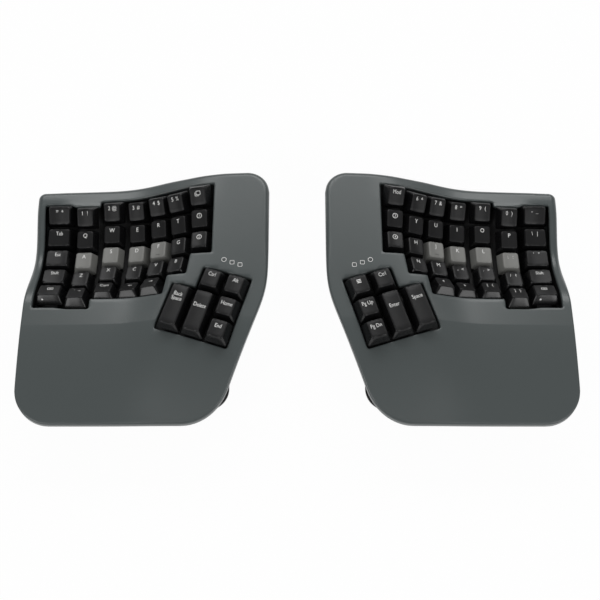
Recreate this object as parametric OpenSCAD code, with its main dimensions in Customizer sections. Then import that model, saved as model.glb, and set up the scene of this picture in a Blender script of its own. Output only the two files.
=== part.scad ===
// Split ergonomic keyboard: two mirrored halves, each a tented case with a curved key well.
// X runs to the right, Y to the rear and Z up. The origin lies on the desk, midway between the halves.
// The left half is modelled, and the right half is its mirror image. Millimetres and degrees.

/* [Keys] */
// Distance between neighbouring key centres on a flat field
key_pitch = 19.05; // [18.9:0.05:20]
// Width and depth of a one-unit cap at its skirt
cap_w = 18; // [17.6:0.1:18.1]
// Width of a one-unit cap at its top
cap_top_w = 11.8; // [11:0.1:12.6]
// Depth of a one-unit cap at its top
cap_top_d = 13.3; // [12.5:0.1:14]
// Height of a cap from its skirt to its top
cap_h = 9; // [8:0.25:9.5]
// Wall of a cap at its skirt
cap_wall = 1.3; // [1:0.1:1.6]
// Depth of the hollow in the top of a cap
cap_dish = 0.7; // [0.3:0.1:1.2]
// Distance from a cap's top down to the plate that carries its switch
cap_over_plate = 15; // [14.6:0.2:16]
// Radius of the stem below a cap
stem_r = 2.6; // [2.2:0.1:2.8]
// Space round a stem in its switch, for keys that move together
stem_gap = 0.6; // [0.55:0.05:0.8]
// Width of the outermost keys, in units
outer_units = 1.25; // [1:0.25:1.5]

/* [Finger columns, outermost first] */
// Place of each column across the well
column_x = [-62, -39.2, -19.1, 0.6, 20.1, 38.05, 56.4]; // seven values, 18 to 23 apart
// Reach of each column, for fingers of different length
column_y = [-1.5, -6, 0.2, 2.1, 1.7, 0.9, 2.6]; // seven values, -8 to 6
// Height of each column, lowest under the middle finger
column_z = [6.9, 7.3, 1.6, -3.7, 0.8, 5.4, 10]; // seven values, -6 to 12
// Sideways lean of each column
column_roll = [9, 5.7, 5.1, -1.1, -6.1, -12.5, -3]; // seven values, -14 to 10
// Keys in each column
column_keys = [5, 5, 5, 5, 5, 4, 3]; // seven counts, 3 to 5
// Further tilt of the bottom key of each column
bottom_tilt = [-1, 0, 2, 10, 5, 0, 0]; // seven values, -2 to 12
// Angle between one row and the next
row_angle = 15; // [13:0.5:16]
// Radius of the arc that a column's cap tops lie on
row_radius = 68.4; // [66:0.5:80]

/* [Key well] */
// Middle of the well, left of the centre line
well_x = -130.8; // [-138:0.5:-130]
// Middle of the well, towards the rear
well_y = 42.4; // [40:0.5:45]
// Height of the home caps' level at the outermost column
well_outer_h = 24.97; // [24.5:0.1:27]
// Drop from the thumb deck to the home caps' level at the innermost column
well_drop = 14.44; // [13:0.1:15]
// Tilt of the well, rear side down
well_pitch = -1.5; // [-2.5:0.5:0]
// Space from the caps to the rear edge of the opening: outermost, next, middle and innermost columns
rear_margin = [-1.3, 2.2, -0.9, 2.2]; // four values, -1.3 to 3
// Space from each column's last cap to the front edge of the opening, negative where the shell overhangs
front_margin = [4.2, 1, -1.1, -1.1, -1.1, 0.6, 4.6]; // seven values, -1.2 to 5

/* [Thumb cluster] */
// Middle of the cluster, left of the centre line
thumb_x = -74.5; // [-76:0.5:-73]
// Middle of the cluster, towards the front
thumb_y = -23.7; // [-26:0.5:-22]
// Height of the thumb caps' tops above the deck
thumb_rise = 7.6; // [6.5:0.1:9]
// Turn of the cluster in plan
thumb_turn = 18; // [16:0.5:20]
// Tilt of the cluster, inner side up
thumb_tilt = 3; // [1:0.5:4]

/* [Case] */
// Half of the space between the two halves
half_gap = 22.5; // [18:0.5:25]
// Rim between the outer keys and the outer edge
rim_outer = 8; // [7:0.5:12]
// Front edge to rear edge
case_d = 206; // [204:1:214]
// Wall of the shells
wall = 2.5; // [2:0.1:3]
// Space between the shell and what is seated under it
seat_gap = 0.3; // [0.2:0.05:0.5]
// Height of the thumb deck at the cluster's middle
deck_h = 62; // [60:0.5:64]
// Height of the top surface at the front edge
front_h = 38; // [36:0.5:41]
// Height of the palm's outer end above the well's middle
palm_rise = 11.2; // [9.5:0.1:13]
// Height of the rear rim behind the outer columns above the well's middle
rear_rise = 3.7; // [2.5:0.1:5]
// Rise of the case from the well's middle towards the deck, in parts of the run
deck_slope = 0.4; // [0.38:0.01:0.44]
// How much farther forward the rear edge lies at its outer end
rear_sweep = 5; // [4:0.5:6]
// Rounding of the top edge
edge_r = 5; // [4:0.5:6]
// How far the sides run in for each unit of depth
side_taper = 0.42; // [0.36:0.01:0.46]

/* [Base] */
// Height of the rubber feet
foot_h = 2; // [1.5:0.25:3]
// Thickness of the base plate
base_t = 3; // [2.5:0.25:4]
// Length of the tent leg from hinge to tip
leg_len = 40; // [36:1:42]

/* [Hidden] */
$fn = 48;
cap_extra = (outer_units - 1) * key_pitch;
row_start = 0.8;
well_yaw = -0.8;
well_tent = asin((deck_h - well_drop - well_outer_h) / (column_x[6] - column_x[0]));
well_z = well_outer_h - column_x[0] * sin(well_tent);
thumb_z = deck_h + thumb_rise;
palm_h = well_z + palm_rise;
rear_h = well_z + rear_rise;
half_d = case_d / 2;
outer_x = key_point(0, 2, [-(cap_w + cap_extra) / 2, 0, -cap_h])[0] - rim_outer;
inner_x = -half_gap;
slant = 20.9;
slant_y = -2.2;
front_outer_r = 30;
front_inner_r = 38;
rear_inner_r = 18;
rear_outer_r = 6;
crease_y = -26;
strip_y = -4;
rear_rim_y = half_d - 16;
seam_front = front_h - 9;
seam_rear = 9;
floor_z = foot_h + base_t;
floor_top = floor_z + wall;
plate_t = 2.4;
housing = 13.8;
cutout = 14;
hinge_x = outer_x + 20;
hinge_z = floor_z + 4;
hinge_y = [37 - half_d, half_d - 29];
pin_r = 2;
leg_x = -84;
leg_y = 71 - half_d;
leg_w = 56;
leg_z = floor_z + 4.5;
leg_drop = asin((leg_z - floor_z - 2) / leg_len);
screw_at = [[-186, 21 - half_d], [-134, 20 - half_d], [-92, 23 - half_d], [-58, half_d - 71]];
lens_at = [[-56.5, 22.7], [-50.2, 20.1], [-44, 17.9]];
socket_x = -51;
board_z = deck_h - 25;
board_y = half_d - 59;
battery_y = 43 - half_d;

// Steps of the case surface from front to rear and from outer edge to inner edge.
row_f = [-1, -0.992, -0.97, -0.93, -0.87, -0.79, -0.67, -0.54, -0.41, crease_y / half_d, -0.16,
    strip_y / half_d, 0.1, 0.27, 0.45, 0.62, 0.757, rear_rim_y / half_d, 0.9, 0.94, 0.97, 0.992, 1];
col_f = [0, 0.004, 0.014, 0.027, 0.06, 0.12, 0.2, 0.3, 0.4, 0.5, 0.58, 0.66, 0.74, 0.82, 0.89, 0.94,
    0.973, 0.986, 0.996, 1];
rows = len(row_f);
cols = len(col_f);

// Rotations of a point about the three axes.
function turn_x(a, p) = [p[0], p[1] * cos(a) - p[2] * sin(a), p[1] * sin(a) + p[2] * cos(a)];
function turn_y(a, p) = [p[0] * cos(a) + p[2] * sin(a), p[1], -p[0] * sin(a) + p[2] * cos(a)];
function turn_z(a, p) = [p[0] * cos(a) - p[1] * sin(a), p[0] * sin(a) + p[1] * cos(a), p[2]];

// Places of keys: a point given from a cap's top centre, taken to the frame of the whole object.
function row_tilt(r) = (r - 2) * row_angle + row_start;
function key_tilt(c, r) = row_tilt(r) + (r == 4 ? bottom_tilt[c] : 0);
function row_place(r) = [0, -row_radius * sin(row_tilt(r)), row_radius * (1 - cos(row_tilt(r)))];
function column_place(c) = [column_x[c], column_y[c], column_z[c]];
function key_point(c, r, p) = [well_x, well_y, well_z] + turn_z(well_yaw, turn_x(well_pitch,
    turn_y(-well_tent, column_place(c) + turn_y(column_roll[c], row_place(r) + turn_x(-key_tilt(c, r), p)))));
function thumb_point(p) = [thumb_x, thumb_y, thumb_z] + turn_y(-thumb_tilt, turn_z(-thumb_turn, p));

// Top surface of the case. It is low behind the outer columns and rises to the level thumb deck.
function softened(t) = 8 * ln(1 + exp(t / 8));
function lower_of(a, b) = -3 * ln(exp(-a / 3) + exp(-b / 3));
function deck_z(x) = deck_h + tan(thumb_tilt) * (x - thumb_x);
function rear_z(x) = lower_of(deck_z(x), rear_h + deck_slope * softened(x - well_x));
function strip_z(x) = lower_of(deck_z(x), palm_h - 2.5 + 0.02 * (x - outer_x) + deck_slope * softened(x - well_x - 3));
function palm_z(x) = lower_of(deck_z(x), palm_h + 0.02 * (x - outer_x) + deck_slope * softened(x - well_x));
function rim_dip(x, y) = abs(y - well_y) > 50 ? 0
    : 15 * pow(cos(90 * (y - well_y) / 50), 2) * max(0, min(1, (outer_x + 28 - x) / 8));
function top_z(x, y) = y < crease_y ? palm_z(x) - (palm_z(x) - front_h) * pow((crease_y - y) / (half_d + 5 + crease_y), 1.7)
    : lookup(y, [[crease_y, palm_z(x)], [strip_y, strip_z(x)], [rear_rim_y, rear_z(x)]]) - rim_dip(x, y);

// Plan outline of the case, run in by d: the outer side, then the inner side with its slanted front part.
function slant_x(y, d) = inner_x + (y - slant_y) * tan(slant) - d / cos(slant);
function arc_x(y, cy, r) = sqrt(max(0, r * r - (y - cy) * (y - cy)));
function left_x(y, d) = let (rf = max(front_outer_r - d, 2), rr = max(rear_outer_r - d, 2),
    yf = -half_d + d + rf, yr = half_d - d - rr)
    y < yf ? outer_x + d + rf - arc_x(y, yf, rf) : y > yr ? outer_x + d + rr - arc_x(y, yr, rr) : outer_x + d;
function right_x(y, d) = let (rf = max(front_inner_r - d, 2), rr = max(rear_inner_r - d, 2),
    yf = -half_d + d + rf, xf = slant_x(yf, d) - rf / cos(slant), yr = half_d - d - rr)
    y < yf - rf * sin(slant) ? xf + arc_x(y, yf, rf)
    : y > yr ? inner_x - d - rr + arc_x(y, yr, rr)
    : lower_of(slant_x(y, d), inner_x - d + 0.3);
function in_corner(p, c, u, v, r) = (p - c) * u > 0 && (p - c) * v > 0 ? r - norm(p - c) : 1000;
function edge_gap(p) = let (yf = -half_d + front_inner_r, xf = slant_x(yf, 0) - front_inner_r / cos(slant)) min(
    p[0] - outer_x, right_x(min(max(p[1], yf), half_d - rear_inner_r), 0) - p[0], p[1] + half_d, half_d - p[1],
    (slant_x(p[1], 0) - p[0]) * cos(slant),
    in_corner(p, [outer_x + front_outer_r, -half_d + front_outer_r], [-1, 0], [0, -1], front_outer_r),
    in_corner(p, [outer_x + rear_outer_r, half_d - rear_outer_r], [-1, 0], [0, 1], rear_outer_r),
    in_corner(p, [inner_x - rear_inner_r, half_d - rear_inner_r], [1, 0], [0, 1], rear_inner_r),
    in_corner(p, [xf, yf], [1, 0], [-sin(slant), -cos(slant)], front_inner_r));

// Points of the case skin, run in by d, and of the tapered sides below it.
function roll_off(g, r) = g >= r ? 0 : r - sqrt(r * r - (r - g) * (r - g));
function flat_xy(i, j, d) = let (y = row_f[i] * (half_d - d), xl = left_x(y, d), xr = right_x(y, d))
    [xl + (xr - xl) * col_f[j], y];
function swept(p) = [p[0], p[1] - rear_sweep * max(0, min(1, (well_x + 25 - p[0]) / 100)) * max(0, p[1]) / half_d];
function skin_xy(i, j, d) = swept(flat_xy(i, j, d));
function skin(i, j, d) = let (g = max(edge_gap(flat_xy(i, j, d)) - d, 0), p = skin_xy(i, j, d))
    [p[0], p[1], top_z(p[0], p[1]) - d - roll_off(g, max(edge_r - d, 1.2))];
function seam_z(y) = seam_front + (seam_rear - seam_front) * (y + half_d) / case_d;
function seam_inset(i, j) = side_taper * (skin(i, j, 0)[2] - seam_z(row_f[i] * half_d));
function floor_inset(i, j, z) = side_taper * (skin(i, j, 0)[2] - z);
function at_seam(p) = [p[0], p[1], seam_z(p[1])];
around = concat([for (j = [0 : cols - 2]) [0, j]], [for (i = [0 : rows - 2]) [i, cols - 1]],
    [for (j = [cols - 1 : -1 : 1]) [rows - 1, j]], [for (i = [rows - 1 : -1 : 1]) [i, 0]]);
rim_n = len(around);
function seam_ring(d) = [for (k = around) at_seam(skin_xy(k[0], k[1], d + seam_inset(k[0], k[1])))];
function level_ring(d, z, path = around) = [for (k = path) let (p = skin_xy(k[0], k[1], d + floor_inset(k[0], k[1], z)))
    [p[0], p[1], z]];
function skin_grid(d) = [for (i = [0 : rows - 1]) for (j = [0 : cols - 1]) skin(i, j, d)];
function grid_faces(at, up, n = rows, m = cols) = [for (i = [0 : n - 2]) for (j = [0 : m - 2]) let (a = at + i * m + j,
    b = a + 1, c = b + m, d = a + m) each (up ? [[a, c, b], [a, d, c]] : [[a, b, c], [a, c, d]])];
function band(a, b) = [for (k = [0 : len(a) - 1]) let (n = (k + 1) % len(a))
    each [[a[k], b[k], b[n]], [a[k], b[n], a[n]]]];
function run(at) = [for (k = [0 : rim_n - 1]) at + k];
function fan(ring, hub, up) = [for (k = [0 : len(ring) - 1]) let (n = (k + 1) % len(ring))
    up ? [ring[n], ring[k], hub] : [ring[k], ring[n], hub]];
hub = [(outer_x + inner_x) / 2 - 8, 0];
function rim_of(at) = [for (k = around) at + k[0] * cols + k[1]];

// A solid through rings of points, lowest ring first.
module loft(rings) {
    n = len(rings[0]);
    last = len(rings) - 1;
    sides = [for (k = [0 : last - 1]) for (m = [0 : n - 1]) let (a = k * n + m, b = k * n + (m + 1) % n)
        each [[a, a + n, b + n], [a, b + n, b]]];
    polyhedron(points = [for (ring = rings) each ring],
        faces = concat([[for (m = [0 : n - 1]) m]], sides, [[for (m = [n - 1 : -1 : 0]) last * n + m]]));
}

// A rectangle with cut corners, counted round once.
function cut_square(w, d, c, z) = [[w / 2 - c, -d / 2, z], [w / 2, -d / 2 + c, z], [w / 2, d / 2 - c, z],
    [w / 2 - c, d / 2, z], [-w / 2 + c, d / 2, z], [-w / 2, d / 2 - c, z], [-w / 2, -d / 2 + c, z],
    [-w / 2 + c, -d / 2, z]];
function plain_square(w, d, z) = [[w / 2, -d / 2, z], [w / 2, d / 2, z], [-w / 2, d / 2, z], [-w / 2, -d / 2, z]];

// Key cap with its stem, from the top centre. The extra width and depth make the longer caps.
module key_cap(extra_w = 0, extra_d = 0) {
    w = cap_w + extra_w;
    d = cap_w + extra_d;
    tw = cap_top_w + extra_w;
    td = cap_top_d + extra_d;
    dish_r = (cap_top_w * cap_top_w / 4 + cap_dish * cap_dish) / (2 * cap_dish) + extra_w;
    color("#2c2c2d")
    difference() {
        union() {
            difference() {
                loft([cut_square(w, d, 1.4, -cap_h), cut_square(tw + 0.9, td + 0.9, 2, -0.8),
                    cut_square(tw - 0.3, td - 0.3, 1.8, 0)]);
                loft([plain_square(w - 2 * cap_wall - 0.05, d - 2 * cap_wall - 0.05, -cap_h - 0.1),
                    plain_square(tw - 2.8, td - 2.8, -1.9)]);
            }
            translate([0, 0, -cap_over_plate + 4]) cylinder(r = stem_r, h = cap_over_plate - 5.5);
        }
        translate([0, 0, dish_r - cap_dish]) rotate([90, 0, 0]) cylinder(r = dish_r, h = d + 2, center = true, $fn = 96);
    }
}

// Switch housing, from the middle of its cut-out at the plate's upper face.
module switch_housing() {
    difference() {
        union() {
            translate([-housing / 2, -housing / 2, -5]) cube([housing, housing, 5.5]);
            translate([-7.6, -7.6, 0]) cube([15.2, 15.2, 1]);
            loft([plain_square(14, 14, 1), plain_square(9.4, 9.6, 6.2)]);
            translate([0, 0, -7]) cylinder(r = 2, h = 3);
        }
        translate([0, 0, -0.8]) cylinder(r = stem_r + stem_gap, h = 10);
    }
}

// Places a shape at a finger key or at a thumb key.
module at_key(c, r) {
    translate([well_x, well_y, well_z]) rotate([0, 0, well_yaw]) rotate([well_pitch, 0, 0]) rotate([0, -well_tent, 0])
        translate(column_place(c)) rotate([0, column_roll[c], 0]) translate(row_place(r)) rotate([-key_tilt(c, r), 0, 0])
        children();
}
module at_thumb(u, v) {
    translate([thumb_x, thumb_y, thumb_z]) rotate([0, -thumb_tilt, 0]) rotate([0, 0, -thumb_turn])
        translate([u * key_pitch, v * key_pitch, 0]) children();
}

// Caps that share a direction of press: keys of one row in neighbouring columns.
module finger_keys(r, from, to) {
    for (c = [from : to]) at_key(c, r) key_cap(c == 0 ? cap_extra : 0);
}
module thumb_key(u, v, units = 1) {
    at_thumb(u, v) key_cap(0, (units - 1) * key_pitch);
}

// Plan of the key-well opening in the shell, stepped along the column ends, and of the bowl below it.
function cap_edge(c, r, side) = key_point(c, r, [0, side * cap_w / 2, -cap_h])[1];
function column_end(c) = cap_edge(c, column_keys[c] - 1, -1);
function between(c, r) = (key_point(c, r, [cap_w / 2, 0, -cap_h])[0] + key_point(c + 1, r, [-cap_w / 2, 0, -cap_h])[0]) / 2;
well_left = outer_x + rim_outer - 1;
well_right = key_point(6, 0, [cap_w / 2, 0, -cap_h])[0] + 1.8;
function front_of(from, to, m) = min([for (c = [from : to]) column_end(c)]) - m;
function rear_of(from, to, m) = max([for (c = [from : to]) cap_edge(c, 0, 1)]) + m;
function stepped(f, m, o) = let (a = between(0, 4) - cap_extra / 2 + 1.5, b = between(1, 4), c = between(4, 3),
    d = between(5, 2), e = between(1, 0), g = between(0, 0) - 1 + 4 * o) [
    [well_left - o, rear_of(0, 0, m[0])], [well_left - o, front_of(0, 0, f[0])], [a, front_of(0, 0, f[0])],
    [a, front_of(1, 1, f[1])], [b + o, front_of(1, 1, f[1])], [b + o, front_of(2, 4, f[2])],
    [c - 3, front_of(2, 4, f[3])], [c, front_of(5, 5, f[5])], [d + 2.5 * o, front_of(5, 5, f[5])],
    [d + 2.5 * o, front_of(6, 6, f[6])], [well_right + 2.7 * o, front_of(6, 6, f[6])],
    [well_right + 2.7 * o, rear_of(2, 6, m[3])], [between(5, 0) - 1, rear_of(2, 6, m[3])],
    [e - o, rear_of(2, 6, m[2])], [e - o, rear_of(1, 1, m[1])], [g, rear_of(1, 1, m[1])], [g, rear_of(0, 0, m[0])]];
well_plan = stepped(front_margin, rear_margin, 0);
bowl_plan = stepped([5, 3, 3.2, 3.2, 3.2, 2.4, 4.8], [3.2, 3.2, 3.2, 3.2], 0.6);
thumb_side = 1.5 * key_pitch + 1.425;
thumb_step = -0.5 * key_pitch - 1.175;
thumb_plan = [[-thumb_side, key_pitch + 1.95], [-thumb_side, -key_pitch - 1.25], [thumb_side, -key_pitch - 1.25],
    [thumb_side, 2 * key_pitch + 1.5], [thumb_step, 2 * key_pitch + 1.5], [thumb_step, key_pitch + 1.95]];

// Upper shell: a skin of even wall with tapered sides, open below, cut for both key fields.
module top_case() {
    inner_at = rows * cols;
    seam_at = 2 * inner_at;
    color("#5a6060")
    difference() {
        union() {
            polyhedron(points = concat(skin_grid(0), skin_grid(wall), seam_ring(0), seam_ring(wall)),
                faces = concat(grid_faces(0, true), grid_faces(inner_at, false), band(run(seam_at), rim_of(0)),
                    band(rim_of(inner_at), run(seam_at + rim_n)), band(run(seam_at + rim_n), run(seam_at))));
            for (p = screw_at) translate([p[0], p[1], floor_top])
                cylinder(r = 3.4, h = top_z(p[0], p[1]) - floor_top - 1.2);
        }
        intersection() {
            linear_extrude(100) polygon(well_plan);
            translate([well_left - 5, -half_d, 18.5]) rotate([0, -7, 0]) cube([170, case_d, 90]);
        }
        at_thumb(0, 0) translate([0, 0, -cap_over_plate]) linear_extrude(40) polygon(thumb_plan);
        for (p = screw_at) translate([p[0], p[1], floor_top - 1]) cylinder(r = 1.35, h = 15);
        for (p = lens_at) translate([p[0], p[1], deck_h - 12]) cylinder(r = 1.4, h = 20);
        translate([socket_x, half_d - 8, board_z + 3.5]) cube([9.8, 16, 4], center = true);
    }
}

// Lower shell: a tapered tray with a flat floor, hinge blocks and a pocket for the tent leg.
module bottom_case() {
    color("#1d1e1f")
    difference() {
        union() {
            polyhedron(points = concat(level_ring(0, floor_z), seam_ring(0), seam_ring(wall), level_ring(wall, floor_top),
                    [[hub[0], hub[1], floor_z], [hub[0], hub[1], floor_top]]),
                faces = concat(fan(run(0), 4 * rim_n, false), band(run(0), run(rim_n)), band(run(rim_n), run(2 * rim_n)),
                    band(run(2 * rim_n), run(3 * rim_n)), fan(run(3 * rim_n), 4 * rim_n + 1, true)));
            for (y = hinge_y) translate([hinge_x - 6, y - 8, floor_z + 1]) cube([12, 16, 6.2]);
            translate([leg_x - leg_len - 5, leg_y - leg_w / 2 - 2, floor_z + 1]) cube([leg_len + 12, leg_w + 4, 10]);
        }
        for (y = hinge_y) {
            translate([hinge_x - 5.2, y - 4.4, floor_z - 1]) cube([10.4, 8.8, 9]);
            translate([hinge_x, y, hinge_z]) rotate([90, 0, 0]) cylinder(r = pin_r + 0.3, h = 30, center = true);
        }
        translate([leg_x - leg_len - 3, leg_y - leg_w / 2 - 0.5, floor_z - 1]) cube([leg_len + 8, leg_w + 1, 10]);
        translate([leg_x, leg_y, leg_z]) rotate([90, 0, 0]) cylinder(r = 1.8, h = leg_w + 3, center = true);
        for (p = screw_at) translate([p[0], p[1], floor_z - 1]) {
            cylinder(r = 1.6, h = 10);
            cylinder(r = 3, h = 2.6);
        }
    }
}

// Curved plate with a square hole under each finger key, and a curtain up to the shell.
well_u = [for (c = [0 : 6]) each [[c, c == 0 ? -15 : -7.6], [c, c == 0 ? 10 : c == 6 ? 13 : 7.6]]];
well_v = [for (r = [0 : 4]) each [[r, r == 0 ? 16 : 8.2], [r, r == 4 ? -16 : -8.2]]];
function well_grid(z) = [for (v = well_v) for (u = well_u) key_point(u[0], v[0], [u[1], v[1], z])];
// The plate, or with a level below zero the whole space from the plate's upper face down to that level.
module well_plate(low) {
    m = len(well_u);
    n = len(well_v);
    s = m * n;
    edge = concat([for (j = [0 : m - 2]) j], [for (i = [0 : n - 2]) i * m + m - 1],
        [for (j = [m - 1 : -1 : 1]) (n - 1) * m + j], [for (i = [n - 1 : -1 : 1]) i * m]);
    k = len(edge);
    upper = well_grid(-cap_over_plate - (low < -100 ? 1 : 0));
    lower = low < -100 ? [for (p = upper) [p[0], p[1], low + 100]] : well_grid(low);
    polyhedron(points = concat(upper, lower),
        faces = concat([for (i = [0 : n - 2]) for (j = [0 : m - 2]) let (a = i * m + j)
            each [[a, a + 1, a + m + 1], [a, a + m + 1, a + m],
            [s + a, s + a + m + 1, s + a + 1], [s + a, s + a + m, s + a + m + 1]]],
            [for (e = [0 : k - 1]) let (a = edge[e], b = edge[(e + 1) % k]) each [[a, s + b, b], [a, s + a, s + b]]]));
}
module key_well() {
    color("#161617")
    difference() {
        intersection() {
            union() {
                intersection() {
                    well_plate(-cap_over_plate - plate_t);
                    linear_extrude(90) offset(delta = 1.6) polygon(bowl_plan);
                }
                difference() {
                    linear_extrude(90) difference() {
                        offset(delta = 1.6) polygon(bowl_plan);
                        polygon(bowl_plan);
                    }
                    well_plate(-200);
                }
            }
            under_shell(9, rows - 1, 0, 14, floor_top);
        }
        for (c = [0 : 6]) for (r = [0 : column_keys[c] - 1]) at_key(c, r)
            translate([0, 0, -cap_over_plate]) cube([cutout, cutout, 12], center = true);
    }
}

// The space under part of the shell's skin, used to trim what stands up against it.
module under_shell(i0, i1, j0, j1, low_z) {
    d = wall + seat_gap;
    n = i1 - i0 + 1;
    m = j1 - j0 + 1;
    path = concat([for (j = [j0 : j1 - 1]) [i0, j]], [for (i = [i0 : i1 - 1]) [i, j1]],
        [for (j = [j1 : -1 : j0 + 1]) [i1, j]], [for (i = [i1 : -1 : i0 + 1]) [i, j0]]);
    low = [for (k = [0 : len(path) - 1]) n * m + k];
    polyhedron(points = concat([for (i = [i0 : i1]) for (j = [j0 : j1]) skin(i, j, d)], level_ring(d + 1.2, low_z, path)),
        faces = concat(grid_faces(0, true, n, m), band(low, [for (k = path) (k[0] - i0) * m + k[1] - j0]), [low]));
}

// Flat tray under the thumb keys.
module thumb_plate() {
    deep = -cap_over_plate;
    color("#161617")
    difference() {
        intersection() {
            at_thumb(0, 0) difference() {
                translate([0, 0, deep - plate_t]) linear_extrude(plate_t + 9) offset(delta = 1.6) polygon(thumb_plan);
                translate([0, 0, deep]) linear_extrude(20) polygon(thumb_plan);
            }
            under_shell(6, 13, 9, cols - 1, thumb_z - 30);
        }
        for (k = thumb_keys) at_thumb(k[0], k[1]) translate([0, 0, deep]) cube([cutout, cutout, 12], center = true);
    }
}
thumb_keys = [[-1, 0], [0, 0], [1, 0.5], [1, -0.5], [0, 1.5], [1, 1.5]];

module switches() {
    color("#26282a") {
        for (c = [0 : 6]) for (r = [0 : column_keys[c] - 1]) at_key(c, r) translate([0, 0, -cap_over_plate]) switch_housing();
        for (k = thumb_keys) at_thumb(k[0], k[1]) translate([0, 0, -cap_over_plate]) switch_housing();
    }
}

// Board with its processor, radio module and charging socket.
module controller_board() {
    color("#1f5f3d") {
        translate([socket_x - 11.5, board_y, board_z]) cube([20, 44, 1.6]);
        translate([socket_x - 5, board_y + 14, board_z + 1.6]) cube([9, 9, 1]);
        translate([socket_x - 6, board_y + 1, board_z + 1.6]) cube([12, 10, 2]);
        translate([socket_x, board_y + 38.4, board_z + 3.5]) rotate([-90, 0, 0]) difference() {
            linear_extrude(11) socket_outline(8.9, 3.3);
            translate([0, 0, 3]) linear_extrude(11) socket_outline(8.2, 2.6);
        }
    }
}
module socket_outline(w, h) {
    square([w - h, h], center = true);
    for (s = [-1, 1]) translate([s * (w - h) / 2, 0]) circle(d = h);
}

module battery() {
    color("#8f979c")
    translate([-160, battery_y, floor_top]) linear_extrude(6.5) {
        square([48, 28], center = true);
        square([44, 32], center = true);
        for (x = [-22, 22]) for (y = [-14, 14]) translate([x, y]) circle(r = 2);
    }
}

module indicator_lenses() {
    color("#d9dcd8")
    for (p = lens_at) translate([p[0], p[1], deck_z(p[0]) - 6]) cylinder(r = 1.3, h = 6.2);
}

module case_screws() {
    color("#9a9c9e")
    for (p = screw_at) translate([p[0], p[1], floor_z]) difference() {
        union() {
            cylinder(r = 2.8, h = 1.5);
            cylinder(r = 1.25, h = 11);
        }
        translate([0, 0, -0.1]) cylinder(r = 1, h = 1, $fn = 6);
    }
}

// Base plate with the two hinge lugs and their pins.
base_left = hinge_x + 0.6;
base_right = -53.5;
base_front = 24 - half_d;
base_rear = half_d - 21;
module base_plate() {
    color("#121213") {
        difference() {
            union() {
                translate([0, 0, foot_h]) linear_extrude(base_t) base_outline();
                for (y = hinge_y) translate([hinge_x, y, 0]) {
                    translate([-3.5, -4, foot_h]) cube([9, 8, base_t]);
                    translate([-3.5, -4, foot_h]) cube([7, 8, hinge_z - foot_h]);
                    translate([0, 0, hinge_z]) rotate([90, 0, 0]) cylinder(r = 3.5, h = 8, center = true);
                    translate([0, 0, hinge_z]) rotate([90, 0, 0]) cylinder(r = pin_r, h = 14, center = true);
                }
            }
            for (p = foot_at) translate([p[0], p[1], foot_h - 1]) cylinder(r = 8.1, h = 1.8);
        }
    }
}
module base_outline() {
    r = 18;
    difference() {
        translate([base_left, base_front]) square([base_right - base_left, base_rear - base_front]);
        translate([base_right - r, base_front - 1]) square([r + 1, r + 1]);
        translate([base_right - r, base_rear - r]) square([r + 1, r + 1]);
    }
    translate([base_right - r, base_front + r]) circle(r = r);
    translate([base_right - r, base_rear - r]) circle(r = r);
}
foot_at = [[base_left + 11, base_front + 12], [base_right - 17, base_front + 17], [base_right - 17, base_rear - 17],
    [base_left + 11, base_rear - 21]];

module base_feet() {
    color("#0d0d0d")
    for (p = foot_at) translate([p[0], p[1], 0]) rotate_extrude()
        polygon([[0, 0], [7, 0], [8, 0.8], [8, foot_h + 0.8], [0, foot_h + 0.8]]);
}

// Folding leg that props the inner side up, from its hinge to its round tip.
module tent_leg() {
    color("#303234")
    translate([leg_x, leg_y, leg_z]) rotate([0, -leg_drop, 0]) difference() {
        union() {
            translate([-leg_len, -leg_w / 2, -1.6]) cube([leg_len, leg_w, 3.2]);
            rotate([90, 0, 0]) cylinder(r = 2.2, h = leg_w, center = true);
            rotate([90, 0, 0]) cylinder(r = 1.5, h = leg_w + 2.8, center = true);
            translate([-leg_len, 0, 0]) rotate([90, 0, 0]) cylinder(r = 1.6, h = leg_w, center = true);
        }
        translate([-leg_len + 8, -leg_w / 2 + 8, -5]) cube([leg_len - 14, leg_w - 16, 10]);
    }
}

module on_right() {
    mirror([1, 0, 0]) children();
}

top_case();  // left_top_case
bottom_case();  // left_bottom_case
key_well();  // left_key_well
thumb_plate();  // left_thumb_plate
switches();  // left_switches
controller_board();  // left_controller_board
battery();  // left_battery
indicator_lenses();  // left_indicator_lenses
case_screws();  // left_case_screws
base_plate();  // left_base_plate
base_feet();  // left_base_feet
tent_leg();  // left_tent_leg
finger_keys(0, 0, 2);  // left_keys_number_outer
finger_keys(0, 3, 4);  // left_keys_number_middle
finger_keys(0, 5, 6);  // left_keys_number_inner
finger_keys(1, 0, 2);  // left_keys_upper_outer
finger_keys(1, 3, 4);  // left_keys_upper_middle
finger_keys(1, 5, 6);  // left_keys_upper_inner
finger_keys(2, 0, 2);  // left_keys_home_outer
finger_keys(2, 3, 4);  // left_keys_home_middle
finger_keys(2, 5, 6);  // left_keys_home_inner
finger_keys(3, 0, 2);  // left_keys_lower_outer
finger_keys(3, 3, 5);  // left_keys_lower_inner
finger_keys(4, 0, 4);  // left_keys_bottom
thumb_key(-1, 0, 2);  // left_thumb_backspace
thumb_key(0, 0, 2);  // left_thumb_delete
thumb_key(1, 0.5);  // left_thumb_home
thumb_key(1, -0.5);  // left_thumb_end
thumb_key(0, 1.5);  // left_thumb_ctrl
thumb_key(1, 1.5);  // left_thumb_alt
on_right() top_case();  // right_top_case
on_right() bottom_case();  // right_bottom_case
on_right() key_well();  // right_key_well
on_right() thumb_plate();  // right_thumb_plate
on_right() switches();  // right_switches
on_right() controller_board();  // right_controller_board
on_right() battery();  // right_battery
on_right() indicator_lenses();  // right_indicator_lenses
on_right() case_screws();  // right_case_screws
on_right() base_plate();  // right_base_plate
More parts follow.
